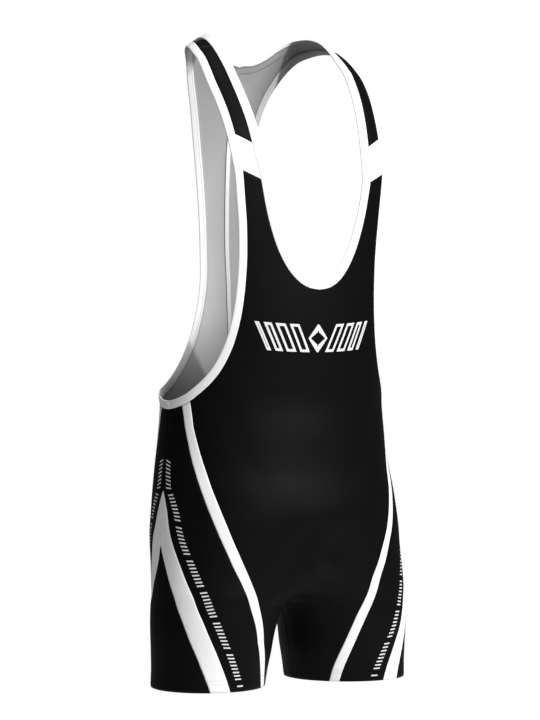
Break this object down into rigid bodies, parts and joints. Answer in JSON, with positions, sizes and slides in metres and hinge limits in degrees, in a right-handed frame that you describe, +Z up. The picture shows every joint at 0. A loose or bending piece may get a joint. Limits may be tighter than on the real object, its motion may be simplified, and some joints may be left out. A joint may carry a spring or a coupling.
{
  "type": "wrestling singlet",
  "caption": "Sleeveless one-piece wrestling singlet with scooped neck, racer back, bound edges and short tight legs with side stripes, in its worn hollow form.",
  "frame": {"origin": "middle of the line over both shoulders, between the strap tops where the wearer's shoulders hold the garment up", "axes": "+X towards the wearer's left, -Y out of the front, +Z up from the hems to the shoulders"},
  "size_m": [0.3318, 0.2209, 0.7669],
  "materials": {
    "black_knit": "smooth matt black stretch knit with a soft sheen",
    "white_knit": "smooth matt white stretch knit",
    "white_binding": "folded white stretch knit strip with stitched edges"
  },
  "bodies": {
    "root": {"front_body": "black_knit", "back_left": "black_knit", "front_strap_left": "black_knit", "strap_band_left": "white_knit", "shoulder_left": "black_knit", "front_stripe_left": "white_knit", "back_stripe_left": "white_knit", "side_front_left": "black_knit", "side_back_left": "black_knit", "chevron_front_left": "white_knit", "chevron_back_left": "white_knit", "wedge_front_left": "black_knit", "wedge_back_left": "black_knit", "armhole_binding_left": "white_binding", "back_right": "black_knit", "front_strap_right": "black_knit", "strap_band_right": "white_knit", "shoulder_right": "black_knit", "front_stripe_right": "white_knit", "back_stripe_right": "white_knit", "side_front_right": "black_knit", "side_back_right": "black_knit", "chevron_front_right": "white_knit", "chevron_back_right": "white_knit", "wedge_front_right": "black_knit", "wedge_back_right": "black_knit", "armhole_binding_right": "white_binding", "neck_binding": "white_binding", "back_seam_tape": "white_binding"}
  },
  "joints": []
}
